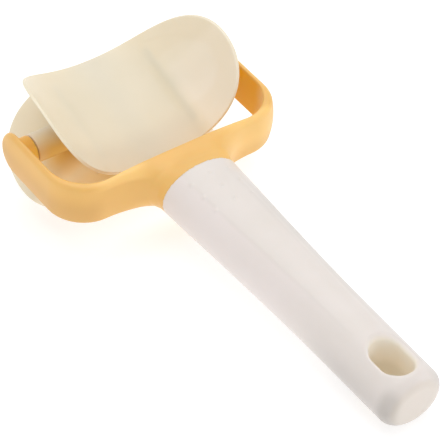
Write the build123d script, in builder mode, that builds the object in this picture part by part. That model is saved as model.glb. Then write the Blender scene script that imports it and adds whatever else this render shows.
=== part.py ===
from build123d import *
import os
from math import pi, sin, cos, sqrt, radians, degrees, asin, atan2, copysign

# Rolling round dough cutter: a roller with two wrapped round cutting edges turns
# between the arms of a U-shaped yoke, and the yoke's neck is plugged into a handle.
# Millimetres, +Z up. The tool lies as it rests on a table: the roller and the end of
# the handle touch z = 0, and the origin is under the middle of the tool.

# ---- roller
ROLLER_R = 26.0          # radius on which the cutting edges lie
RING_HALF_X = 42.1       # half width of a cutting ring along the roller axis
RING_N = 2.16            # 2 is a true circle when rolled out, more is squarer
SHEET_T = 1.2            # thickness of the saddle sheet and of its cutting edge
RING_TURN = 74.2         # direction of the upper ring, degrees up from the handle
RIB_X0, RIB_X1 = 20.5, 22.5      # cross rib inside each shell
RIB_R = 20.5
NOTCH_R = 3.45           # half-round seat for the hub spigot

# ---- hubs
HUB_R = 5.8
HUB_NECK_R = 4.85
HUB_X_IN, HUB_X_STEP, HUB_X_OUT = 22.5, 24.3, 41.7
SPIGOT_R, SPIGOT_X = 3.4, 18.6
BORE_R, BORE_DEPTH = 3.08, 8.0

# ---- yoke
YOKE_IN_X = 47.8         # inner face of each arm
YOKE_IN_Y = -37.0        # inner face of the back bar
YOKE_T, YOKE_BAR_T = 3.0, 3.5          # thickness of the arms and of the bar
YOKE_H = 18.3            # height of the band
YOKE_IN_R, YOKE_OUT_R = 16.0, 16.0     # corner radii, inside and outside
BAND_IN_R, BAND_OUT_R = 0.5, 2.2       # edge fillets, inside and outside
BOSS_R, BOSS_X = 5.8, 42.1
PIN_R, PIN_X = 3.0, 35.2
NECK = [                 # y, half width, half height, squareness
    (-38.0, 30.0, 8.2, 3.8),
    (-41.0, 24.4, 9.1, 3.2),
    (-44.5, 19.1, 10.4, 2.4),
    (-48.0, 17.2, 11.9, 2.1),
    (-51.3, 16.7, 12.45, 2.0),
]
PLUG_Y = -66.0
TANG_Y = -124.0

# ---- handle
HANDLE = [               # y, half width, half height
    (-51.3, 17.0, 12.7),
    (-68.0, 16.25, 12.55),
    (-90.0, 14.95, 12.4),
    (-115.0, 13.95, 12.2),
    (-145.0, 13.25, 12.05),
    (-180.7, 13.05, 11.9),
]
HANDLE_END_R = 5.5
HANDLE_RIM_R = 0.7
HANDLE_WALL = 2.5
CAVITY_Y = -148.0
HOLE_Y = -165.3
HOLE_W, HOLE_L = 13.6, 18.6
HOLE_LIP, HOLE_LIP_LOW = 2.4, 1.1

# ---- how the tool lies: roller down, handle end down
_yc = -(HANDLE[-1][0] + HANDLE_END_R)
_zc = HANDLE[-1][2] - HANDLE_END_R
TILT = asin((ROLLER_R - HANDLE_END_R) / sqrt(_yc**2 + _zc**2)) - atan2(_zc, _yc)
REACH = _yc * cos(TILT) + _zc * sin(TILT) + HANDLE_END_R
AXIS_Y = (REACH - ROLLER_R) / 2
TOOL = Plane(
    origin=(0, AXIS_Y, ROLLER_R), x_dir=(1, 0, 0), z_dir=(0, -sin(TILT), cos(TILT))
)


def at(x, y, z):
    """A point given in the tool's own directions, roller centre first."""
    return TOOL.from_local_coords(Vector(x, y, z))


def across(y, x=0, z=0):
    """Plane square to the handle, facing the handle's end."""
    return Plane(origin=at(x, y, z), x_dir=(1, 0, 0), z_dir=-TOOL.y_dir)


def flat(z):
    """Plane level with the handle's top face."""
    return Plane(origin=at(0, 0, z), x_dir=(1, 0, 0), z_dir=TOOL.z_dir)


def side(x):
    """Plane square to the roller axis."""
    return Plane(origin=at(x, 0, 0), x_dir=TOOL.y_dir, z_dir=(1, 0, 0))


ROLLER_AXIS = Axis(at(0, 0, 0), (1, 0, 0))


def oval(half_w, half_h, n, count=28):
    """Points round a soft oval; n = 2 is an ellipse, more is squarer."""
    pts = []
    for i in range(count):
        t = 2 * pi * (i + 0.5) / count
        c, s = cos(t), sin(t)
        pts.append(
            (
                half_w * copysign(abs(c) ** (2 / n), c),
                half_h * copysign(abs(s) ** (2 / n), s),
            )
        )
    return pts


# =============================================================== handle
with BuildPart() as handle_grip:
    for y, w, h in HANDLE:
        with BuildSketch(across(y)):
            Ellipse(w, h)
    loft()
    end_face = handle_grip.faces().sort_by(Axis(at(0, 0, 0), -TOOL.y_dir))[-1]
    fillet(end_face.edges(), HANDLE_END_R)
    rim_face = handle_grip.faces().sort_by(Axis(at(0, 0, 0), TOOL.y_dir))[-1]
    fillet(rim_face.edges(), HANDLE_RIM_R)
    # hang hole with rounded lips
    with BuildSketch(flat(0)) as hole_sk:
        with Locations((0, HOLE_Y)):
            SlotOverall(HOLE_L, HOLE_W, rotation=90)
    extrude(hole_sk.sketch, amount=30, both=True, mode=Mode.SUBTRACT)
    for face_side, lip in ((1, HOLE_LIP), (-1, HOLE_LIP_LOW)):
        lips = [
            e
            for e in handle_grip.edges()
            if abs(TOOL.to_local_coords(e.center()).X) < HOLE_W / 2 + 0.5
            and abs(TOOL.to_local_coords(e.center()).Y - HOLE_Y) < HOLE_L / 2 + 0.5
            and face_side * TOOL.to_local_coords(e.center()).Z > 8
        ]
        fillet(lips, lip)
    # hollow for the yoke's tang
    with BuildPart(mode=Mode.PRIVATE) as cavity:
        for y, w, h in [s for s in HANDLE if s[0] > CAVITY_Y]:
            with BuildSketch(across(y)):
                Ellipse(w - HANDLE_WALL, h - HANDLE_WALL)
        loft()
    add(cavity.part, mode=Mode.SUBTRACT)
handle_grip.part.label = "handle_grip"

# =============================================================== yoke
with BuildPart() as yoke_frame:
    # U seen from above, with round arm ends seen from the side
    x_in, y_in = YOKE_IN_X, YOKE_IN_Y
    x_out, y_out = x_in + YOKE_T, y_in - YOKE_BAR_T
    tip = YOKE_H / 2
    with BuildSketch(flat(-YOKE_H / 2)) as u_plate:
        with BuildLine():
            Polyline((x_out, tip), (x_out, y_out), (-x_out, y_out), (-x_out, tip), close=True)
        make_face()
        fillet([v for v in u_plate.vertices() if v.Y < 0], YOKE_OUT_R)
        with BuildSketch(mode=Mode.PRIVATE) as gap:
            with BuildLine():
                Polyline(
                    (x_in, tip + 5), (x_in, y_in), (-x_in, y_in), (-x_in, tip + 5), close=True
                )
            make_face()
            fillet([v for v in gap.vertices() if v.Y < 0], YOKE_IN_R)
        add(gap.sketch, mode=Mode.SUBTRACT)
    extrude(amount=YOKE_H)
    with BuildSketch(side(0)) as lengthwise:
        with Locations((-40, 0)):
            Rectangle(80, YOKE_H)
        Circle(YOKE_H / 2)
    extrude(amount=x_out + 5, both=True, mode=Mode.INTERSECT)

    def u_face(p, x_face, y_face, r):
        """Outward distance in plan from a face of the U."""
        qx, qy = abs(p.X) - (x_face - r), (y_face + r) - p.Y
        return min(max(qx, qy), 0) + sqrt(max(qx, 0) ** 2 + max(qy, 0) ** 2) - r

    def rims(x_face, y_face, r):
        """The edges along the top, the bottom and the round ends of one face."""
        found = []
        for e in yoke_frame.edges():
            p = TOOL.to_local_coords(e.position_at(0.5))
            far = abs(p.Z) if p.Y <= 0 else sqrt(p.Y**2 + p.Z**2)
            if abs(u_face(p, x_face, y_face, r)) < 1e-3 and far > YOKE_H / 2 - 1e-3:
                found.append(e)
        return found

    fillet(rims(x_out, y_out, YOKE_OUT_R), BAND_OUT_R)
    fillet(rims(x_in, y_in, YOKE_IN_R), BAND_IN_R)
    # bosses with the pivot pins
    for sign in (-1, 1):
        with BuildSketch(Plane(origin=at(0, 0, 0), x_dir=(sign, 0, 0), z_dir=-TOOL.y_dir * sign)):
            with BuildLine():
                Polyline(
                    (YOKE_IN_X + 1.0, 0),
                    (PIN_X, 0),
                    (PIN_X, PIN_R - 0.6),
                    (PIN_X + 0.6, PIN_R),
                    (BOSS_X, PIN_R),
                    (BOSS_X, BOSS_R - 0.4),
                    (BOSS_X + 0.4, BOSS_R),
                    (YOKE_IN_X - 1.2, BOSS_R),
                    (YOKE_IN_X, BOSS_R + 1.2),
                    (YOKE_IN_X + 1.0, BOSS_R + 1.2),
                    close=True,
                )
            make_face()
        revolve(axis=ROLLER_AXIS, revolution_arc=360)
    # flared neck
    with BuildPart(mode=Mode.PRIVATE) as neck:
        for y, w, h, n in NECK:
            with BuildSketch(across(y)):
                with BuildLine():
                    Spline(*oval(w, h, n), periodic=True)
                make_face()
        loft()
    add(neck.part)
    # plug and cross-shaped tang inside the handle
    y, w, h = HANDLE[0]
    plug_w, plug_h = w - HANDLE_WALL - 0.9, h - HANDLE_WALL - 0.25
    with BuildSketch(across(NECK[-1][0] + 0.5)):
        Ellipse(plug_w, plug_h)
    extrude(amount=NECK[-1][0] + 0.5 - PLUG_Y)
    with BuildSketch(across(PLUG_Y + 0.5)):
        Rectangle(2 * plug_w - 6.5, 3.2)
        Rectangle(3.2, 2 * plug_h - 1.5)
    extrude(amount=PLUG_Y + 0.5 - TANG_Y, taper=0.8)
yoke_frame.part.label = "yoke_frame"


# =============================================================== cutter shells
def saddle(x):
    """Height of the sheet's middle over the roller axis."""
    u = min(1.0, abs(x) / RING_HALF_X)
    return ROLLER_R * cos(pi / 2 * (1 - u**RING_N) ** (1 / RING_N))


def saddle_slope(x):
    u = min(0.9993, abs(x) / RING_HALF_X)
    q = (1 - u**RING_N) ** (1 / RING_N)
    rise = sin(pi / 2 * q) * (pi / 2) * (u / q) ** (RING_N - 1)
    return copysign(ROLLER_R * rise / RING_HALF_X, x)


def offset_curve(side_t, x_end):
    """The sheet's face: the middle curve moved square to itself by side_t."""
    pts = []
    n = 22
    for i in range(n + 1):
        x = x_end * sin(pi / 2 * i / n)
        m = saddle_slope(x)
        k = sqrt(1 + m * m)
        pts.append((x - side_t * m / k, saddle(x) + side_t / k))
    return pts


def shell(turn):
    """One saddle sheet with its cutting edge, and the two ribs that hold the hubs."""
    a = radians(turn)
    up = TOOL.y_dir * (-cos(a)) + TOOL.z_dir * sin(a)
    near = TOOL.y_dir * (-sin(a)) + TOOL.z_dir * (-cos(a))
    face = Plane(origin=at(0, 0, 0), x_dir=(1, 0, 0), z_dir=near)
    # past the ring's tip both faces carry straight on, so that the roller's
    # radius, and not the sheet, ends them
    x_tip = RING_HALF_X * 0.985
    m = saddle_slope(x_tip)
    outer = offset_curve(SHEET_T / 2, x_tip)
    inner = offset_curve(-SHEET_T / 2, x_tip)
    run = 4.0
    outer_end = (outer[-1][0] + run, outer[-1][1] + run * m)
    inner_end = (inner[-1][0] + run, inner[-1][1] + run * m)
    inner = [p for p in inner if p[1] > 0.25]
    # where the inner face meets the parting plane
    x0 = inner[0][0] - inner[0][1] / saddle_slope(inner[0][0] * 0.97)
    with BuildPart() as half:
        for s in (1, -1):
            with BuildSketch(face):
                with BuildLine():
                    Spline(*[(s * p[0], p[1]) for p in outer], tangents=[(s, 0), (s, m)])
                    Polyline(
                        (s * outer[-1][0], outer[-1][1]),
                        (s * outer_end[0], outer_end[1]),
                        (s * inner_end[0], inner_end[1]),
                        (s * inner[-1][0], inner[-1][1]),
                    )
                    Spline(*[(s * p[0], p[1]) for p in reversed(inner)])
                    Polyline(
                        (s * inner[0][0], inner[0][1]),
                        (s * x0, 0),
                        (0, 0),
                        (0, outer[0][1]),
                    )
                make_face()
            extrude(amount=ROLLER_R + 4, both=True)
        with BuildSketch(side(0)):
            Circle(ROLLER_R)
        extrude(amount=RING_HALF_X + 6, both=True, mode=Mode.INTERSECT)
        # cross ribs from the parting plane up to the sheet
        for s in (1, -1):
            top0, top1 = saddle(RIB_X0), saddle(RIB_X1)
            with BuildPart(mode=Mode.PRIVATE) as rib:
                with BuildSketch(face):
                    with BuildLine():
                        Polyline(
                            (s * RIB_X0, 0),
                            (s * RIB_X1, 0),
                            (s * RIB_X1, top1),
                            (s * RIB_X0, top0),
                            close=True,
                        )
                    make_face()
                extrude(amount=ROLLER_R, both=True)
                with BuildSketch(side(0)):
                    Circle(RIB_R)
                extrude(amount=RING_HALF_X, both=True, mode=Mode.INTERSECT)
                with BuildSketch(side(0)):
                    Circle(NOTCH_R)
                extrude(amount=RING_HALF_X, both=True, mode=Mode.SUBTRACT)
            add(rib.part)
    return half.part


cutter_shell_upper = shell(RING_TURN)
cutter_shell_upper.label = "cutter_shell_upper"
cutter_shell_lower = shell(RING_TURN + 180)
cutter_shell_lower.label = "cutter_shell_lower"


# =============================================================== hubs
def hub(sign):
    with BuildPart() as tube:
        with BuildSketch(
            Plane(origin=at(0, 0, 0), x_dir=(sign, 0, 0), z_dir=-TOOL.y_dir * sign)
        ):
            with BuildLine():
                Polyline(
                    (SPIGOT_X, 0),
                    (HUB_X_OUT - BORE_DEPTH, 0),
                    (HUB_X_OUT - BORE_DEPTH, BORE_R),
                    (HUB_X_OUT - 0.5, BORE_R),
                    (HUB_X_OUT, BORE_R + 0.5),
                    (HUB_X_OUT, HUB_R - 0.4),
                    (HUB_X_OUT - 0.4, HUB_R),
                    (HUB_X_STEP, HUB_R),
                    (HUB_X_STEP, HUB_NECK_R),
                    (HUB_X_IN, HUB_NECK_R),
                    (HUB_X_IN, SPIGOT_R),
                    (SPIGOT_X, SPIGOT_R),
                    close=True,
                )
            make_face()
        revolve(axis=ROLLER_AXIS, revolution_arc=360)
    return tube.part


hub_left = hub(-1)
hub_left.label = "hub_left"
hub_right = hub(1)
hub_right.label = "hub_right"

os.makedirs("parts", exist_ok=True)
for piece in (
    handle_grip.part,
    yoke_frame.part,
    cutter_shell_upper,
    cutter_shell_lower,
    hub_left,
    hub_right,
):
    export_step(piece, f"parts/{piece.label}.step")
    bb = piece.bounding_box()
    print(
        piece.label,
        "solids",
        len(piece.solids()),
        "volume",
        round(piece.volume),
        "valid",
        piece.is_valid,
        "box",
        [round(v, 2) for v in (bb.min.X, bb.min.Y, bb.min.Z, bb.max.X, bb.max.Y, bb.max.Z)],
    )
print("tilt", round(degrees(TILT), 3), "roller axis at y", round(AXIS_Y, 3), "z", ROLLER_R)
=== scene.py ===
from math import asin, atan2, cos, pi, radians, sin, sqrt

import bpy
import numpy as np
from mathutils import Matrix, Vector


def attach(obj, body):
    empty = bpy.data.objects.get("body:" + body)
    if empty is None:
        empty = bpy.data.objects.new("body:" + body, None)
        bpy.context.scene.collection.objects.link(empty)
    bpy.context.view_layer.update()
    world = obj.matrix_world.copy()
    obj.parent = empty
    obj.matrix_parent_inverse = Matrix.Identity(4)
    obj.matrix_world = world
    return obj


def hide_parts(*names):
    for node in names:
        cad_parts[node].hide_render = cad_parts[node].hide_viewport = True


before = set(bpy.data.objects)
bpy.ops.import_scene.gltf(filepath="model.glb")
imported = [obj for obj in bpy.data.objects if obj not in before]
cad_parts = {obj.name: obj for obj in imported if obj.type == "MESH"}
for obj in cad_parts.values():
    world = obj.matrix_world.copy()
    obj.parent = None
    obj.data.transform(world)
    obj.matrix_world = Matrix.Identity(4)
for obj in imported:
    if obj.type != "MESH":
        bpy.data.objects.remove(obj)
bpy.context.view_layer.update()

# ---------------------------------------------------------------- sizes, mm
# Nearly the same numbers as the solids. "Tool" coordinates: x along the roller's axis, -y
# towards the handle's end, z square to the handle, origin in the roller's middle.
ROLLER_R = 26.0
RING_HALF_X, RING_N = 42.1, 2.16
SHEET_T = 1.2
RING_TURN = 74.2
RIB_X0, RIB_X1, RIB_R = 20.5, 22.5, 19.0
NOTCH_R = 3.45
HUB_R, HUB_NECK_R = 5.8, 4.85
HUB_X_IN, HUB_X_STEP, HUB_X_OUT = 22.5, 24.3, 41.7
SPIGOT_R, SPIGOT_X = 3.4, 18.6
BORE_R, BORE_DEPTH = 3.08, 8.0
YOKE_IN_X, YOKE_IN_Y, YOKE_IN_R, YOKE_OUT_R = 47.8, -37.0, 16.0, 16.0
YOKE_T, YOKE_BAR_T, YOKE_CROWN, YOKE_H = 2.2, 2.7, 0.77, 18.3
BAND_IN_R, BAND_OUT_R = 0.5, 1.8
BOSS_R, BOSS_X, PIN_R, PIN_X = 5.8, 42.1, 3.0, 35.2
NECK = np.array(
    [
        (-36.0, 30.5, 8.4, 3.6),
        (-38.0, 28.2, 8.8, 3.4),
        (-41.0, 23.4, 9.4, 3.0),
        (-44.5, 18.7, 10.5, 2.4),
        (-48.0, 17.1, 12.0, 2.1),
        (-51.3, 16.9, 12.62, 2.0),
    ]
)
PLUG_Y, TANG_Y = -66.0, -124.0
HANDLE = np.array(
    [
        (-51.3, 17.0, 12.7),
        (-68.0, 16.25, 12.55),
        (-90.0, 14.95, 12.4),
        (-115.0, 13.95, 12.2),
        (-145.0, 13.25, 12.05),
        (-180.7, 13.05, 11.9),
    ]
)
HANDLE_END_R, HANDLE_WALL, CAVITY_Y = 5.5, 2.5, -148.0
HOLE_Y, HOLE_W, HOLE_L, HOLE_LIP, HOLE_LIP_LOW = -165.3, 13.2, 18.3, 2.6, 1.1

_yc = -(HANDLE[-1][0] + HANDLE_END_R)
_zc = HANDLE[-1][2] - HANDLE_END_R
TILT = asin((ROLLER_R - HANDLE_END_R) / sqrt(_yc**2 + _zc**2)) - atan2(_zc, _yc)
REACH = _yc * cos(TILT) + _zc * sin(TILT) + HANDLE_END_R
AXIS_Y = (REACH - ROLLER_R) / 2


def to_row(p):
    """Tool coordinates in mm to the part's own frame in metres."""
    p = np.asarray(p, float)
    c, s = cos(TILT), sin(TILT)
    out = np.empty_like(p)
    out[:, 0] = p[:, 0]
    out[:, 1] = p[:, 1] * c - p[:, 2] * s + AXIS_Y
    out[:, 2] = p[:, 1] * s + p[:, 2] * c + ROLLER_R
    return out * 0.001


# ---------------------------------------------------------------- field tools
def smooth_min(a, b, k):
    """The nearer of two fields, with a fillet about k wide where they meet."""
    h = np.clip(k - np.abs(a - b), 0, None) / k
    return np.minimum(a, b) - h * h * h * k / 6


def round_max(a, b, r):
    """What is inside both fields, with an edge of radius r."""
    return np.minimum(np.maximum(a, b), -r) + np.sqrt(
        np.clip(a + r, 0, None) ** 2 + np.clip(b + r, 0, None) ** 2
    )


def soft_step(t):
    t = np.clip(t, 0, 1)
    return t * t * (3 - 2 * t)


def superellipse(x, z, w, h, n=2.0):
    """Distance, close to the surface, from an oval of half sizes w and h."""
    ax, az = np.abs(x) / w + 1e-9, np.abs(z) / h + 1e-9
    s = ax**n + az**n
    q = s ** (1 / n)
    g = q ** (1 - n)
    gx, gz = g * ax ** (n - 1) / w, g * az ** (n - 1) / h
    return (q - 1) / np.sqrt(gx * gx + gz * gz + 1e-12)


def surface(field, lo, hi, cell, even=2, settle=3):
    """Quads on the surface where field is 0: one corner in each grid cell that the
    surface crosses, evened out and then settled onto the field itself."""
    lo, hi = np.array(lo, float), np.array(hi, float)
    n = np.ceil((hi - lo) / cell).astype(int) + 1
    ax = [lo[i] + cell * np.arange(n[i]) for i in range(3)]
    f = np.empty(tuple(n))
    step = max(1, int(600000 // (n[1] * n[2])))
    for i in range(0, n[0], step):
        x, y, z = np.meshgrid(ax[0][i : i + step], ax[1], ax[2], indexing="ij")
        f[i : i + step] = field(x, y, z)
    neg = f < 0
    count = np.zeros(tuple(n - 1), np.int8)
    for a in (0, 1):
        for b in (0, 1):
            for c in (0, 1):
                count += neg[
                    a : n[0] - 1 + a, b : n[1] - 1 + b, c : n[2] - 1 + c
                ].astype(np.int8)
    active = (count > 0) & (count < 8)
    ijk = np.argwhere(active)
    index = np.full(active.shape, -1, np.int64)
    index[active] = np.arange(len(ijk))
    total, hits = np.zeros((len(ijk), 3)), np.zeros(len(ijk))
    corners = [np.array((a, b, c)) for a in (0, 1) for b in (0, 1) for c in (0, 1)]
    for a in corners:
        for k in range(3):
            if a[k]:
                continue
            b = a.copy()
            b[k] = 1
            fa = f[tuple((ijk + a).T)]
            fb = f[tuple((ijk + b).T)]
            cut = (fa < 0) != (fb < 0)
            t = fa[cut] / (fa[cut] - fb[cut])
            total[cut] += a + t[:, None] * (b - a)
            hits[cut] += 1
    verts = lo + cell * (ijk + total / hits[:, None])
    quads = []
    for k in range(3):
        a, b = (k + 1) % 3, (k + 2) % 3
        first = [slice(0, n[i]) for i in range(3)]
        second = list(first)
        first[k], second[k] = slice(0, n[k] - 1), slice(1, n[k])
        lower, upper = neg[tuple(first)], neg[tuple(second)]
        for outward, found in ((True, lower & ~upper), (False, upper & ~lower)):
            at = np.argwhere(found)
            ok = (
                (at[:, a] > 0)
                & (at[:, b] > 0)
                & (at[:, a] < n[a] - 1)
                & (at[:, b] < n[b] - 1)
            )
            at = at[ok]
            ring = []
            for da, db in ((1, 1), (0, 1), (0, 0), (1, 0)):
                c = at.copy()
                c[:, a] -= da
                c[:, b] -= db
                ring.append(index[tuple(c.T)])
            ring = np.stack(ring, 1)
            quads.append(ring if outward else ring[:, ::-1])
    quads = np.concatenate(quads)
    quads = quads[(quads >= 0).all(1)]

    def settled(v, times):
        e = 0.01
        for _ in range(times):
            x, y, z = v.T
            f0 = field(x, y, z)
            g = np.stack(
                [
                    field(x + e, y, z) - field(x - e, y, z),
                    field(x, y + e, z) - field(x, y - e, z),
                    field(x, y, z + e) - field(x, y, z - e),
                ],
                1,
            ) / (2 * e)
            size = np.clip((g * g).sum(1), 1e-4, None)
            move = -(f0 / size)[:, None] * g
            length = np.linalg.norm(move, axis=1, keepdims=True)
            v = v + move * np.minimum(1, 0.5 * cell / np.maximum(length, 1e-12))
        return v

    pairs = np.concatenate([quads[:, [i, (i + 1) % 4]] for i in range(4)])
    pairs = np.concatenate([pairs, pairs[:, ::-1]])
    degree = np.bincount(pairs[:, 0], minlength=len(verts)).astype(float)
    verts = settled(verts, 1)
    for _ in range(even):
        mean = np.stack(
            [
                np.bincount(pairs[:, 0], verts[pairs[:, 1], i], minlength=len(verts))
                for i in range(3)
            ],
            1,
        ) / np.maximum(degree, 1)[:, None]
        verts = settled(verts * 0.45 + mean * 0.55, 1)
    verts = settled(verts, settle)
    return verts, quads


def make_mesh(name, verts, faces, smooth=True):
    mesh = bpy.data.meshes.new(name)
    verts = np.asarray(verts, np.float32)
    if isinstance(faces, np.ndarray):
        mesh.vertices.add(len(verts))
        mesh.vertices.foreach_set("co", verts.ravel())
        k = faces.shape[1]
        mesh.loops.add(faces.size)
        mesh.loops.foreach_set("vertex_index", faces.ravel().astype(np.int32))
        mesh.polygons.add(len(faces))
        mesh.polygons.foreach_set(
            "loop_start", (np.arange(len(faces)) * k).astype(np.int32)
        )
        mesh.update(calc_edges=True)
    else:
        mesh.from_pydata([tuple(v) for v in verts], [], faces)
    mesh.validate()
    mesh.update()
    if smooth:
        mesh.polygons.foreach_set("use_smooth", [True] * len(mesh.polygons))
    obj = bpy.data.objects.new(name, mesh)
    bpy.context.scene.collection.objects.link(obj)
    return obj


# ---------------------------------------------------------------- handle
def oval_at(y):
    w = np.interp(-y, -HANDLE[:, 0], HANDLE[:, 1])
    h = np.interp(-y, -HANDLE[:, 0], HANDLE[:, 2])
    return w, h


# smooth size curves, so that no section shows as a ring
_ys = np.linspace(-50.0, -184.0, 269)
_fit_w = np.polyfit((HANDLE[:, 0] + 116) / 65, HANDLE[:, 1], 4)
_fit_h = np.polyfit((HANDLE[:, 0] + 116) / 65, HANDLE[:, 2], 2)


def handle_size(y):
    t = (np.clip(y, -184, -50) + 116) / 65
    return np.polyval(_fit_w, t), np.polyval(_fit_h, t)


DOTS = [(dx, dy) for dx in (-9.0, -0.6, 7.7) for dy in (-57.7, -65.5, -73.2)]


def slot_field(x, y, w, length):
    """Distance from a round-ended slot that runs along y."""
    half = (length - w) / 2
    return np.hypot(x, np.clip(np.abs(y - HOLE_Y) - half, 0, None)) - w / 2


def panel_edge(y):
    """Half width of the thumb panel on top of the handle."""
    return np.interp(-y, (52.2, 82, 100, 117, 152), (9.2, 8.4, 7.5, 6.8, 6.0))


def handle_field(x, y, z):
    w, h = handle_size(y)
    skin = superellipse(x, z, w, h)
    # a thumb panel on top that stands a little proud, with a narrow step each side
    fade = soft_step((-y - 54) / 14) * soft_step((156 + y) / 16)
    step = 0.15 * soft_step((panel_edge(y) + 0.8 - np.abs(x)) / 1.7)
    skin = skin - np.where(z > 0, fade * step * soft_step(z / 4), 0)
    # raised grip dots by the rim
    for dx, dy in DOTS:
        r2 = ((x - dx) ** 2 + (y - dy) ** 2) / 0.72**2
        skin = skin - np.where(z > 0, 0.34 * np.exp(-(r2**1.5)), 0)
    end = -(y + 180.7)
    # small gate mark on the end face
    g2 = np.hypot(x - 3.2, z + 5.4)
    end = end + 0.22 * np.exp(-((g2 / 0.75) ** 4))
    body = round_max(skin, end, HANDLE_END_R)
    body = round_max(body, y - HANDLE[0, 0], 0.15)
    hole = slot_field(x, y, HOLE_W, HOLE_L)
    lip = HOLE_LIP - 1.4 * soft_step((-1.5 - x) / 5)
    body = round_max(body, -hole, np.where(z > 0, lip, HOLE_LIP_LOW))
    hollow = superellipse(x, z, w - HANDLE_WALL, h - HANDLE_WALL)
    hollow = np.maximum(hollow, CAVITY_Y - y)
    return np.maximum(body, -hollow)


# ---------------------------------------------------------------- yoke
def yoke_field(x, y, z):
    ax = np.abs(x)

    def u_face(arm, bar, r):
        """Outward distance from a face of the U."""
        qx = ax - (YOKE_IN_X + arm - r)
        qy = (YOKE_IN_Y - bar + r) - y
        return (
            np.minimum(np.maximum(qx, qy), 0)
            + np.hypot(np.clip(qx, 0, None), np.clip(qy, 0, None))
            - r
        )

    zz = np.where(y > 0, np.hypot(y, z), np.abs(z))
    crown = YOKE_CROWN * (1 - np.clip(zz / 8.8, 0, 1) ** 2)
    band = np.maximum(
        round_max(-u_face(0, 0, YOKE_IN_R), zz - YOKE_H / 2, BAND_IN_R),
        round_max(
            u_face(YOKE_T + crown, YOKE_BAR_T + crown, YOKE_OUT_R), zz - YOKE_H / 2, BAND_OUT_R
        ),
    )
    rho = np.hypot(y, z)
    boss = round_max(rho - BOSS_R, np.maximum(BOSS_X - ax, ax - YOKE_IN_X - 1.2), 0.45)
    body = smooth_min(band, boss, 2.6)
    # the neck flows out of the bar
    w = np.interp(-y, -NECK[:, 0], NECK[:, 1])
    h = np.interp(-y, -NECK[:, 0], NECK[:, 2])
    n = np.interp(-y, -NECK[:, 0], NECK[:, 3])
    neck = superellipse(x, z, w, h, n)
    # its end runs 0.3 into the handle's rim, so that the joint shows no groove
    neck_end = NECK[-1, 0] - 0.3
    neck = np.maximum(neck, np.maximum(neck_end - y, y - (YOKE_IN_Y - 0.9)))
    body = smooth_min(body, neck, 9.0)
    body = np.maximum(body, np.where(y < -18, -u_face(0, 0, YOKE_IN_R), body))
    body = np.maximum(body, neck_end - y)
    pin = round_max(rho - PIN_R, np.maximum(PIN_X - ax, ax - YOKE_IN_X), 0.5)
    body = np.minimum(body, pin)
    # plug and cross-shaped tang, inside the handle
    pw, ph = HANDLE[0, 1] - HANDLE_WALL - 0.9, HANDLE[0, 2] - HANDLE_WALL - 0.25
    plug = np.maximum(superellipse(x, z, pw, ph), np.maximum(PLUG_Y - y, y - NECK[-1, 0] - 0.7))
    taper = 0.014 * np.clip(PLUG_Y - y, 0, None)
    flat_rib = np.maximum(ax - (pw - 3.25) + taper, np.abs(z) - 1.6 + taper)
    tall_rib = np.maximum(ax - 1.6 + taper, np.abs(z) - (ph - 0.75) + taper)
    tang = np.maximum(np.minimum(flat_rib, tall_rib), np.maximum(TANG_Y - y, y - PLUG_Y - 0.5))
    return np.minimum(body, np.minimum(plug, tang))


# ---------------------------------------------------------------- roller shells
def saddle(x):
    u = np.minimum(1.0, np.abs(x) / RING_HALF_X)
    return ROLLER_R * np.cos(pi / 2 * (1 - u**RING_N) ** (1 / RING_N))


def saddle_slope(x):
    u = np.clip(np.abs(x) / RING_HALF_X, 0, 0.9993)
    q = (1 - u**RING_N) ** (1 / RING_N)
    rise = np.sin(pi / 2 * q) * (pi / 2) * (u / q) ** (RING_N - 1)
    return np.sign(x) * ROLLER_R * rise / RING_HALF_X


TIP_SLOPE = float(saddle_slope(RING_HALF_X * 0.9995))


def sheet_face(m, side):
    """Point of the sheet's outer (side 1) or inner (side -1) face for middle line x = m."""
    inside = np.abs(m) <= RING_HALF_X
    h = np.where(inside, saddle(m), ROLLER_R + TIP_SLOPE * (np.abs(m) - RING_HALF_X))
    k = np.where(inside, saddle_slope(m), np.sign(m) * TIP_SLOPE)
    length = np.sqrt(1 + k * k)
    d = side * SHEET_T / 2
    return m - d * k / length, h + d / length


def face_reach(side):
    """Middle line x at which a face runs out at the roller's radius."""
    lo, hi = RING_HALF_X * 0.8, RING_HALF_X * 1.2
    for _ in range(60):
        mid = (lo + hi) / 2
        if sheet_face(np.array([mid]), side)[1][0] < ROLLER_R:
            lo = mid
        else:
            hi = mid
    return lo


class Face:
    """Round patch of unit radius wrapped onto one face of the sheet."""

    def __init__(self, side):
        self.side = side
        self.reach = face_reach(side)
        u = np.sin(np.linspace(0, pi / 2 - 0.02, 400))
        x, e = sheet_face(u * self.reach, side)
        e = np.maximum(e, 0)
        half = np.sqrt(np.clip(ROLLER_R**2 - e**2, 0, None))
        g = half / np.sqrt(1 - u * u)
        g_tip = g[-1] + (g[-1] - g[-2]) / (u[-1] - u[-2]) * (1 - u[-1])
        self.u = np.append(u, 1.0)
        self.g = np.append(g, g_tip)

    def at(self, r, t):
        u, w = r * np.cos(t), r * np.sin(t)
        x, e = sheet_face(u * self.reach, self.side)
        e = np.maximum(e, 0)
        c = np.interp(np.abs(u), self.u, self.g) * w
        return np.stack([x, c, e], -1)


def shell_relief(x, c, r):
    """How far the outer face lies under the plain sheet: a shallow D-shaped panel on
    each lobe, and a faint sink line over the rib inside it."""
    ax = np.abs(x)
    inner = soft_step((ax - 20.6) / 3.0)
    rim = soft_step((0.905 - r) / 0.042)
    panel = 0.10 * inner * rim
    sink = 0.05 * np.exp(-(((ax - 19.3) / 1.9) ** 2)) * soft_step((0.90 - r) / 0.08)
    return (panel + sink) * np.where(x > 0, 1.0, 0.4)


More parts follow.
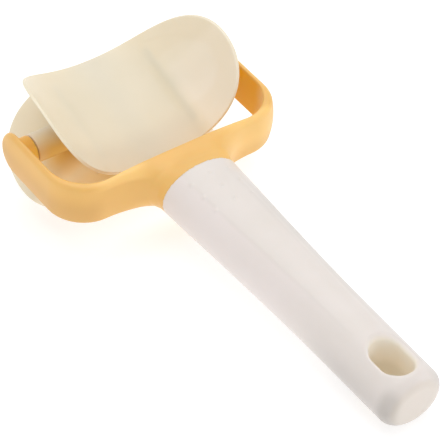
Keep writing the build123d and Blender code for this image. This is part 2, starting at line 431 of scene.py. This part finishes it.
def sheet_bounce_shade(x, c, e):
    """Painted bounce shade: where the light reaches a shell's inner face only by way of the faces
    round it.
    """
    under = (e - saddle(x)) / np.sqrt(1 + saddle_slope(x) ** 2)
    inside = soft_step((-under - 0.1) / 0.4)
    low = soft_step((16.5 - e) / 8.0)
    core = 0.35 + 0.63 * np.exp(-(((c + 3.0) / 5.0) ** 2)) - 0.2 * np.exp(-(((c + 13.5) / 3.0) ** 2))
    return inside * low * soft_step((11.5 - c) / 6.5) * core


def sheet_bounce_light(x, c, e):
    """Painted bounce light: where the inner face lies open towards the bar."""
    under = (e - saddle(x)) / np.sqrt(1 + saddle_slope(x) ** 2)
    return soft_step((-under - 0.1) / 0.4) * soft_step((-6.5 - c) / 6.0)


def sheet_lobe_light(x, c, e):
    """Painted light on the outer face of the lobe at the right, which lies fuller in the light."""
    under = (e - saddle(x)) / np.sqrt(1 + saddle_slope(x) ** 2)
    along = (0.75 + 0.25 * soft_step(c / 12.0)) * (1 - 0.6 * soft_step((-4.0 - c) / 6.0))
    return soft_step((under - 0.1) / 0.4) * soft_step((x - 21.0) / 5.0) * along


def sheet_low_shade(x, c, e):
    """Painted shade on the outer face's lower side."""
    under = (e - saddle(x)) / np.sqrt(1 + saddle_slope(x) ** 2)
    return (
        soft_step((under - 0.1) / 0.4) * soft_step((c - 8.0) / 10.0) * soft_step((25.0 - x) / 6.0)
    )


def sheet_shade(x, c, e):
    """Painted shade: a little darker over each rib, where the rib inside keeps light from coming
    through the sheet, and round the rim; full on the lobe at the right, a quarter on the left.
    """
    ax = np.abs(x)
    under = (e - saddle(x)) / np.sqrt(1 + saddle_slope(x) ** 2)
    outside = soft_step((under - 0.1) / 0.4)
    arc = np.arctan2(np.abs(c), np.clip(e, 1e-3, None)) / (pi / 2)
    r = np.hypot(ax / RING_HALF_X, arc)
    rib = soft_step((ax - 16.2) / 3.0) * soft_step((23.0 - ax) / 2.6) * soft_step((0.97 - r) / 0.1)
    rim = soft_step((r - 0.86) / 0.05) * soft_step((ax - 12.0) / 10.0)
    return outside * np.maximum(rib, 0.7 * rim) * np.where(x > 0, 1.0, 0.25)


def shell_mesh(name, turn):
    """One saddle sheet with its cutting edge, as a closed skin, and its ribs as separate meshes, to be
    joined to it.
    """
    outer, inner = Face(1), Face(-1)
    seg = 336
    t = np.linspace(0, 2 * pi, seg, endpoint=False)
    # rings: even over the face, closer at the edge of the panel and at the rim
    r_face = np.unique(
        np.concatenate(
            [np.linspace(0.022, 0.86, 58), np.linspace(0.865, 0.905, 10), np.linspace(0.912, 0.985, 9)]
        )
    )
    rows = []

    def relief_row(r):
        p = outer.at(np.full(seg, r), t)
        d = shell_relief(p[:, 0], p[:, 1], r)
        k = saddle_slope(np.clip(p[:, 0], -RING_HALF_X, RING_HALF_X))
        length = np.sqrt(1 + k * k)
        p[:, 0] += d * k / length
        p[:, 2] -= d / length
        return p

    for r in r_face:
        rows.append(relief_row(r))
    one = np.ones(seg)
    rim_o, rim_i = outer.at(one, t), inner.at(one, t)
    width = np.linalg.norm(rim_o - rim_i, axis=1, keepdims=True)
    e = 0.32  # the edge's rounding
    in_o = outer.at(one * (1 - 0.0085), t)
    in_i = inner.at(one * (1 - 0.0085), t)
    a_o = rim_o + (in_o - rim_o) / np.linalg.norm(in_o - rim_o, axis=1, keepdims=True) * e
    a_i = rim_i + (in_i - rim_i) / np.linalg.norm(in_i - rim_i, axis=1, keepdims=True) * e
    cut = (rim_i - rim_o) / width
    b_o, b_i = rim_o + cut * e, rim_i - cut * e

    def turn_edge(p0, p1, p2):
        for s in (0.0, 0.2, 0.4, 0.6, 0.8, 1.0):
            rows.append((1 - s) ** 2 * p0 + 2 * s * (1 - s) * p1 + s * s * p2)

    turn_edge(a_o, rim_o, b_o)
    rows.append((b_o + b_i) / 2)
    turn_edge(b_i, rim_i, a_i)
    r_in = np.concatenate([np.linspace(0.975, 0.90, 6), np.linspace(0.88, 0.022, 50)])
    for r in r_in:
        rows.append(inner.at(np.full(seg, r), t))
    # the cutting edge stays on the roller's radius
    p = np.concatenate(rows)
    rad = np.hypot(p[:, 1], p[:, 2])
    over = rad > ROLLER_R
    p[over, 1:] *= (ROLLER_R / rad[over])[:, None]
    n = len(rows)
    top = outer.at(np.zeros(1), np.zeros(1))
    low = inner.at(np.zeros(1), np.zeros(1))
    verts = np.concatenate([p, top, low])
    faces = []
    for i in range(n - 1):
        a = i * seg + np.arange(seg)
        b = i * seg + (np.arange(seg) + 1) % seg
        faces.append(np.stack([a, a + seg, b + seg, b], 1))
    quads = np.concatenate(faces)
    tri = []
    for j in range(seg):
        k = (j + 1) % seg
        tri.append((n * seg, j, k))
        tri.append((n * seg + 1, (n - 1) * seg + k, (n - 1) * seg + j))
    a = radians(turn)

    def placed(v):
        x, c, e = v[:, 0], v[:, 1], v[:, 2]
        return to_row(np.stack([x, -e * cos(a) - c * sin(a), e * sin(a) - c * cos(a)], 1))

    sheet = make_mesh(name, placed(verts), [tuple(q) for q in quads.tolist()] + tri)

    def rib_field(x, c, e):
        ax = np.abs(x)
        rc = np.hypot(c, e)
        wall = np.abs(ax - (RIB_X0 + RIB_X1) / 2) - (RIB_X1 - RIB_X0) / 2
        top = (e - saddle(x)) / np.sqrt(1 + saddle_slope(x) ** 2)
        f = round_max(wall, rc - RIB_R, 0.35)
        f = np.maximum(f, np.maximum(top, -e))
        return np.maximum(f, NOTCH_R - rc)

    ribs = []
    for s in (1, -1):
        v, q = surface(
            rib_field,
            (min(s * 19.9, s * 23.1), -25.2, -0.8),
            (max(s * 19.9, s * 23.1), 25.2, 12.2),
            0.42,
            even=1,
        )
        ribs.append(make_mesh(name + "_rib", placed(v), q))
    return sheet, ribs


def union(obj, others):
    for o in others:
        mod = obj.modifiers.new("join", "BOOLEAN")
        mod.operation = "UNION"
        mod.solver = "MANIFOLD"
        mod.object = o
        dg = bpy.context.evaluated_depsgraph_get()
        new = bpy.data.meshes.new_from_object(obj.evaluated_get(dg))
        obj.modifiers.clear()
        old = obj.data
        obj.data = new
        bpy.data.meshes.remove(old)
        bpy.data.objects.remove(o)
    obj.data.polygons.foreach_set("use_smooth", [True] * len(obj.data.polygons))
    return obj


# ---------------------------------------------------------------- hubs
def fillet_path(points, radii, steps=5):
    """Corners of a polyline rounded by arcs."""
    out = []
    for i, p in enumerate(points):
        p = np.array(p, float)
        if radii[i] == 0:
            out.append(p)
            continue
        a = np.array(points[i - 1], float) - p
        b = np.array(points[(i + 1) % len(points)], float) - p
        a, b = a / np.linalg.norm(a), b / np.linalg.norm(b)
        p0, p2 = p + a * radii[i], p + b * radii[i]
        for k in range(steps + 1):
            s = k / steps
            out.append((1 - s) ** 2 * p0 + 2 * s * (1 - s) * p + s * s * p2)
    return np.array(out)


def hub_mesh(name, sign):
    x_bore = HUB_X_OUT - BORE_DEPTH
    pts = [
        (SPIGOT_X, 0),
        (x_bore, 0),
        (x_bore, BORE_R),
        (HUB_X_OUT, BORE_R),
        (HUB_X_OUT, HUB_R),
        (HUB_X_STEP, HUB_R),
        (HUB_X_STEP, HUB_NECK_R),
        (HUB_X_IN, HUB_NECK_R),
        (HUB_X_IN, SPIGOT_R),
        (SPIGOT_X, SPIGOT_R),
    ]
    rad = [0, 0, 0.3, 0.55, 0.6, 0.4, 0.25, 0.2, 0.15, 0.35]
    path = fillet_path(pts, rad)
    # spread points along the long runs as well
    fine = [path[0]]
    for p in path[1:]:
        gap = np.linalg.norm(p - fine[-1])
        for k in range(1, int(gap // 1.2) + 1):
            fine.append(fine[-1] + (p - fine[-1]) * (1 / (int(gap // 1.2) - k + 2)))
        fine.append(p)
    path = np.array(fine)
    seg = 96
    t = np.linspace(0, 2 * pi, seg, endpoint=False)
    verts, first = [], []
    for x, r in path:
        if r < 1e-6:
            first.append((len(verts), 1))
            verts.append((sign * x, 0, 0))
        else:
            first.append((len(verts), seg))
            verts += [(sign * x, r * cos(a), r * sin(a)) for a in t]
    faces = []
    m = len(path)
    for i in range(m):
        (a0, na), (b0, nb) = first[i], first[(i + 1) % m]
        if na == 1 and nb == 1:
            continue
        for j in range(seg):
            k = (j + 1) % seg
            if na == 1:
                f = (a0, b0 + k, b0 + j)
            elif nb == 1:
                f = (a0 + j, a0 + k, b0)
            else:
                f = (a0 + j, a0 + k, b0 + k, b0 + j)
            faces.append(f[::-1] if sign > 0 else f)
    verts = np.array(verts, float)
    obj = make_mesh(name, to_row(verts), faces)
    import bmesh

    bm = bmesh.new()
    bm.from_mesh(obj.data)
    bmesh.ops.remove_doubles(bm, verts=bm.verts, dist=1e-7)
    loose = [v for v in bm.verts if not v.link_faces]
    bmesh.ops.delete(bm, geom=loose, context="VERTS")
    bmesh.ops.recalc_face_normals(bm, faces=bm.faces)
    bm.to_mesh(obj.data)
    bm.free()
    return obj


# ---------------------------------------------------------------- materials
def plastic(name, colour, spread, rough, sss, radius, scale, tints=(), grain=0.35, gloss=0.5):
    """Moulded plastic: colour drifts a little over the piece, the surface has the fine
    grain of the mould, and light spreads under it. Each tint multiplies the colour
    where its mark on the mesh is 1; the tints hold painted light and shade."""
    mat = bpy.data.materials.new(name)
    mat.use_nodes = True
    nt = mat.node_tree
    nt.nodes.clear()
    out = nt.nodes.new("ShaderNodeOutputMaterial")
    bsdf = nt.nodes.new("ShaderNodeBsdfPrincipled")
    nt.links.new(bsdf.outputs[0], out.inputs[0])
    coord = nt.nodes.new("ShaderNodeTexCoord")
    cloud = nt.nodes.new("ShaderNodeTexNoise")
    cloud.inputs["Scale"].default_value = 38.0
    cloud.inputs["Detail"].default_value = 3.0
    cloud.inputs["Roughness"].default_value = 0.55
    nt.links.new(coord.outputs["Object"], cloud.inputs["Vector"])
    ramp = nt.nodes.new("ShaderNodeValToRGB")
    lo = [c * (1 - spread) for c in colour]
    hi = [min(1.0, c * (1 + spread)) for c in colour]
    lo[2] *= 1 - spread
    ramp.color_ramp.elements[0].position = 0.3
    ramp.color_ramp.elements[1].position = 0.7
    ramp.color_ramp.elements[0].color = (*lo, 1)
    ramp.color_ramp.elements[1].color = (*hi, 1)
    nt.links.new(cloud.outputs["Fac"], ramp.inputs["Fac"])
    shown = ramp.outputs["Color"]
    for layer, factor in tints:
        mark_node = nt.nodes.new("ShaderNodeAttribute")
        mark_node.attribute_name = layer
        mix = nt.nodes.new("ShaderNodeMix")
        mix.data_type = "RGBA"
        mix.blend_type = "MULTIPLY"
        mix.clamp_result = True
        mix.inputs[7].default_value = (*factor, 1)
        nt.links.new(mark_node.outputs["Fac"], mix.inputs[0])
        nt.links.new(shown, mix.inputs[6])
        shown = mix.outputs[2]
    nt.links.new(shown, bsdf.inputs["Base Color"])
    fine = nt.nodes.new("ShaderNodeTexNoise")
    fine.inputs["Scale"].default_value = 1500.0
    fine.inputs["Detail"].default_value = 2.0
    nt.links.new(coord.outputs["Object"], fine.inputs["Vector"])
    broad = nt.nodes.new("ShaderNodeTexNoise")
    broad.inputs["Scale"].default_value = 110.0
    broad.inputs["Detail"].default_value = 2.0
    nt.links.new(coord.outputs["Object"], broad.inputs["Vector"])
    rr = nt.nodes.new("ShaderNodeMapRange")
    rr.inputs["To Min"].default_value = rough - 0.05
    rr.inputs["To Max"].default_value = rough + 0.06
    nt.links.new(broad.outputs["Fac"], rr.inputs["Value"])
    nt.links.new(rr.outputs["Result"], bsdf.inputs["Roughness"])
    bump = nt.nodes.new("ShaderNodeBump")
    bump.inputs["Strength"].default_value = grain
    bump.inputs["Distance"].default_value = 0.00002
    nt.links.new(fine.outputs["Fac"], bump.inputs["Height"])
    wave = nt.nodes.new("ShaderNodeBump")
    wave.inputs["Strength"].default_value = grain
    wave.inputs["Distance"].default_value = 0.00006
    nt.links.new(broad.outputs["Fac"], wave.inputs["Height"])
    nt.links.new(bump.outputs["Normal"], wave.inputs["Normal"])
    nt.links.new(wave.outputs["Normal"], bsdf.inputs["Normal"])
    bsdf.inputs["Specular IOR Level"].default_value = gloss
    bsdf.inputs["IOR"].default_value = 1.49
    bsdf.subsurface_method = "RANDOM_WALK"
    bsdf.inputs["Subsurface Weight"].default_value = sss
    bsdf.inputs["Subsurface Radius"].default_value = radius
    bsdf.inputs["Subsurface Scale"].default_value = scale
    return mat


handle_mat = plastic(
    "handle_plastic", (0.775, 0.715, 0.680), 0.02, 0.36, 0.2, (1.0, 0.85, 0.75), 0.0014,
    (
        # painted light: the wall inside the hang hole made lighter
        ("bore_painted_light", (1.29, 1.30, 1.22)),
        # painted shade: the hole's wall darker and warmer lower down, darker still towards its bottom
        ("hole_painted_shade", (0.92, 0.87, 0.787)),
        ("well", (0.835, 0.82, 0.755)),
        # painted shade: the end face a little darker
        ("end", (0.97, 0.955, 0.915)),
        # painted shade: the lower flanks darker towards the handle's end
        ("flank_painted_shade", (0.80, 0.80, 0.80)),
        # painted shade: the end's rounded corner on the left side darker
        ("turn", (0.84, 0.84, 0.83)),
        # painted shade: the right flank darker
        ("right", (0.80, 0.81, 0.80)),
        # painted light: the left flank towards the yoke a little lighter
        ("side", (1.04, 1.03, 1.05)),
    ),
)
yoke_mat = plastic(
    "yoke_plastic", (0.845, 0.50, 0.15), 0.03, 0.38, 0.2, (1.0, 0.5, 0.2), 0.0015,
    (
        # painted bounce shade: the U's inner faces a deeper, saturated orange, less on the boss, near
        # the top and along the bar
        ("painted_bounce_shade", (1.08, 0.90, 0.06)),
        # painted light: the boss made lighter
        ("boss", (1.16, 1.32, 1.25)),
        # painted light on the bar's right-hand part and corner, and a painted highlight along the left
        # part of the bar's top edge
        ("painted_light", (1.15, 1.22, 1.40)),
        # painted shade: the left end of the bar's outer face darker, more towards the bottom
        ("painted_shade_left", (0.88, 0.84, 0.82)),
    ),
)
roller_mat = plastic(
    "roller_plastic", (0.80, 0.715, 0.56), 0.02, 0.36, 0.35, (1.0, 0.93, 0.85), 0.0022,
    (
        # painted bounce shade in the hollow between the shells
        ("painted_bounce_shade", (1.0, 0.77, 0.32)),
        # painted bounce light where the lower shell's inner face lies open towards the bar
        ("painted_bounce_light", (1.24, 1.18, 1.18)),
        # painted light on the right lobe's outer face
        ("lobe", (1.10, 1.11, 1.20)),
        # painted shade: the outer face darker on its lower side
        ("low", (0.93, 0.925, 0.93)),
        # painted shade over each rib and round the rim, mostly on the right lobe
        ("shade", (0.97, 0.955, 0.92)),
    ),
)
hub_mat = plastic(
    "hub_plastic", (0.84, 0.75, 0.61), 0.02, 0.5, 0.35, (1.0, 0.93, 0.85), 0.0022,
    # painted bounce shade on the hub's front and lower side, and painted shade on its underside
    (("painted_bounce_shade", (1.0, 0.78, 0.30)), ("under", (0.91, 0.82, 0.68))), gloss=0.2,
)


def mark(obj, name, field):
    """Store a number from 0 to 1 at each corner point of a piece, from its place in
    tool coordinates, for the material to read."""
    mesh = obj.data
    v = np.empty(len(mesh.vertices) * 3)
    mesh.vertices.foreach_get("co", v)
    v = v.reshape(-1, 3) * 1000 - (0, AXIS_Y, ROLLER_R)
    c, s = cos(TILT), sin(TILT)
    x, y, z = v[:, 0], v[:, 1] * c + v[:, 2] * s, -v[:, 1] * s + v[:, 2] * c
    layer = mesh.attributes.new(name, "FLOAT", "POINT")
    layer.data.foreach_set("value", field(x, y, z).astype(np.float32))


def finish_piece(obj, mat, body, slot, *nodes):
    obj.data.materials.clear()
    obj.data.materials.append(mat)
    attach(obj, body)
    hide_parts(*nodes)


# ---------------------------------------------------------------- build the pieces
v, q = surface(handle_field, (-17.8, -181.9, -13.6), (17.8, -50.4, 13.6), 0.5)
handle = make_mesh("handle_moulding", to_row(v), q)
# painted light: the wall inside the hang hole made lighter
mark(
    handle,
    "bore_painted_light",
    lambda x, y, z: soft_step((2.4 - slot_field(x, y, HOLE_W, HOLE_L)) / 2.6)
    * soft_step((12.4 * np.sqrt(np.clip(1 - (x / 13.1) ** 2, 0.1, 1)) - np.abs(z)) / 2.4),
)
# painted shade: the hole's wall darker and warmer lower down, darker still towards its bottom
for layer, rise in (
    ("hole_painted_shade", ((0.4, 5.5, 8.5), (1.0, 0.42, 0.0))),
    ("well", ((-5.6, -2.8, 0.4), (1.0, 0.8, 0.0))),
):
    mark(
        handle,
        layer,
        lambda x, y, z: soft_step((1.4 - slot_field(x, y, HOLE_W, HOLE_L)) / 1.4)
        * np.interp(z, *rise)
        * (1 - soft_step((2.5 - x) / 4.0) * soft_step(z / 6.0)),
    )
# painted light: the left flank towards the yoke a little lighter
mark(
    handle,
    "side",
    lambda x, y, z: soft_step((1.0 - x - panel_edge(y)) / 2.0) * soft_step((y + 145.0) / 30.0),
)
# painted shade: the end face a little darker
mark(handle, "end", lambda x, y, z: soft_step((-178.9 - y) / 1.4))
# painted shade: the lower flanks darker towards the handle's end
mark(
    handle,
    "flank_painted_shade",
    lambda x, y, z: soft_step((-128.0 - y) / 28.0)
    * soft_step((9.0 - z) / 10.0)
    * soft_step((y + 181.0) / 2.6)
    * soft_step((slot_field(x, y, HOLE_W, HOLE_L) - 1.0) / 2.0),
)
# painted shade: the end's rounded corner on the left side darker
mark(
    handle,
    "turn",
    lambda x, y, z: soft_step((-172.5 - y) / 4.5)
    * soft_step((y + 181.6) / 1.8)
    * soft_step((-5.5 - x) / 4.5)
    * soft_step((10.5 - z) / 5.0),
)
# painted shade: the right flank darker
mark(
    handle,
    "right",
    lambda x, y, z: (0.6 * soft_step((x - 4.5) / 5.0) + 0.4 * soft_step((x - 8.5) / 3.5))
    * soft_step((-45.0 - y) / 40.0)
    * soft_step((y + 181.0) / 3.0)
    * soft_step((slot_field(x, y, HOLE_W, HOLE_L) - 0.5) / 2.0),
)
finish_piece(handle, handle_mat, "holder", "handle_plastic", "handle_grip")

v, q = surface(yoke_field, (-51.8, -125.0, -13.2), (51.8, 10.2, 13.2), 0.5)
yoke = make_mesh("yoke_moulding", to_row(v), q)
# painted bounce shade: the U's inner faces a deeper, saturated orange, less on the boss, near the top
# and along the bar
mark(
    yoke,
    "painted_bounce_shade",
    lambda x, y, z: soft_step(
        (
            YOKE_IN_R
            + 0.4
            - np.hypot(
                np.clip(np.abs(x) - YOKE_IN_X + YOKE_IN_R, 0, None),
                np.clip(YOKE_IN_Y + YOKE_IN_R - y, 0, None),
            )
        )
        / 0.3
    )
    * (0.45 + 0.55 * soft_step((np.hypot(y, z) - 6.0) / 2.0))
    * (1 - 0.85 * soft_step((z - 7.4) / 1.6))
    * (1 - 0.45 * soft_step((-20.0 - y) / 9.0) * soft_step((z + 1.0) / 6.0)),
)
# painted light: the boss made lighter
mark(
    yoke,
    "boss",
    lambda x, y, z: soft_step((6.6 - np.hypot(y, z)) / 0.4)
    * soft_step((47.0 - np.abs(x)) / 0.8)
    * soft_step((5.2 - z) / 1.8),
)
# painted light on the bar's right-hand part and corner, and a painted highlight along the left part of
# the bar's top edge
mark(
    yoke,
    "painted_light",
    lambda x, y, z: soft_step((-34.0 - y) / 3.0)
    * np.maximum(
        soft_step((x - 13.0) / 14.0) * soft_step((52.0 - x) / 10.0) * soft_step((z + 7.0) / 8.0),
        soft_step((z - 6.2) / 2.0) * soft_step((x + 42.0) / 10.0) * soft_step((-14.0 - x) / 8.0),
    ),
)
# painted shade: the left end of the bar's outer face darker, more towards the bottom
mark(
    yoke,
    "painted_shade_left",
    lambda x, y, z: soft_step((-33.0 - x) / 8.0)
    * soft_step((6.0 - z) / 8.0)
    * soft_step((np.hypot(np.abs(x) - 31.8, np.clip(-21.0 - y, 0, None)) - 17.0) / 1.0),
)
finish_piece(yoke, yoke_mat, "holder", "yoke_plastic", "yoke_frame")

for label, turn in (("upper", RING_TURN), ("lower", RING_TURN + 180)):
    sheet, ribs = shell_mesh("roller_shell_" + label, turn)
    union(sheet, ribs)
    ca, sa = cos(radians(turn)), sin(radians(turn))
    # only the lower shell's inner face lies towards the bar
    facing = 1.0 if label == "lower" else 0.0
    # painted light and shade on each shell; the bounce shade and bounce light go on the lower shell
    # only
    for layer, rule in (
        ("painted_bounce_shade", lambda x, c, e: facing * sheet_bounce_shade(x, c, e)),
        ("painted_bounce_light", lambda x, c, e: facing * sheet_bounce_light(x, c, e)),
        ("lobe", sheet_lobe_light),
        ("low", sheet_low_shade),
        ("shade", sheet_shade),
    ):
        mark(sheet, layer, lambda x, y, z: rule(x, -y * sa - z * ca, -y * ca + z * sa))
    finish_piece(sheet, roller_mat, "roller", "roller_plastic", "cutter_shell_" + label)

for label, sign in (("left", -1), ("right", 1)):
    hub = hub_mesh("hub_tube_" + label, sign)
    # painted bounce shade on the hub's front and lower side
    mark(
        hub,
        "painted_bounce_shade",
        lambda x, y, z: soft_step((8.5 - z) / 7.5)
        * (0.7 + 0.3 * soft_step((41.0 - np.abs(x)) / 5.0))
        * soft_step((2.5 - y) / 5.0),
    )
    # painted shade on the hub's underside, at the front
    mark(hub, "under", lambda x, y, z: soft_step((-1.5 - z) / 1.5) * soft_step((2.5 - y) / 5.0))
    finish_piece(hub, hub_mat, "roller", "roller_plastic", "hub_" + label)

# ---------------------------------------------------------------- floor, light, camera
floor = make_mesh(
    "floor", [(-4, -4, -0.0001), (4, -4, -0.0001), (4, 4, -0.0001), (-4, 4, -0.0001)], [(0, 1, 2, 3)]
)
floor_mat = bpy.data.materials.new("floor_pale")
floor_mat.use_nodes = True
fb = floor_mat.node_tree.nodes["Principled BSDF"]
fb.inputs["Base Color"].default_value = (0.62, 0.62, 0.62, 1)
fb.inputs["Roughness"].default_value = 0.8
fb.inputs["Specular IOR Level"].default_value = 0.2
fb.inputs["Emission Color"].default_value = (1, 1, 1, 1)
fb.inputs["Emission Strength"].default_value = 0.55
floor.data.materials.append(floor_mat)

world = bpy.data.worlds.new("studio")
bpy.context.scene.world = world
world.use_nodes = True
bg = world.node_tree.nodes["Background"]
bg.inputs["Color"].default_value = (1, 1, 1, 1)
bg.inputs["Strength"].default_value = 0.74


def area(name, place, target, size, power, colour=(1, 1, 1)):
    data = bpy.data.lights.new(name, "AREA")
    data.shape = "RECTANGLE"
    data.size, data.size_y = size
    data.energy = power
    data.color = colour
    obj = bpy.data.objects.new(name, data)
    bpy.context.scene.collection.objects.link(obj)
    obj.location = place
    obj.rotation_mode = "QUATERNION"
    obj.rotation_quaternion = (Vector(target) - Vector(place)).to_track_quat("-Z", "Y")
    return obj


area("key", (0.10, 0.28, 1.05), (0, 0.04, 0.02), (1.1, 1.1), 4.7)
area("fill", (0.85, -0.75, 0.45), (0, 0.02, 0.02), (0.8, 0.6), 1.5)

cam_data = bpy.data.cameras.new("photo_view")
cam = bpy.data.objects.new("photo_view", cam_data)
bpy.context.scene.collection.objects.link(cam)
right = Vector((0.8088110276728943, -0.5879245645989287, 0.013016445593046823))
up = Vector((0.3717398966381434, 0.5283049077416827, 0.7633500990394346))
back = Vector((-0.4556689267024679, -0.6125672459389354, 0.6458538522302151))
m = Matrix((right, up, back)).transposed().to_4x4()
m.translation = (-0.40639287746833924, -0.533376724105449, 0.590929525635543)
cam.matrix_world = m
cam_data.sensor_width = 36.0
cam_data.lens = 194.90806205021423
cam_data.clip_start, cam_data.clip_end = 0.05, 20
cam_data.dof.use_dof = False
bpy.context.scene.camera = cam
bpy.context.scene.view_settings.view_transform = "Standard"
bpy.context.scene.view_settings.look = "None"
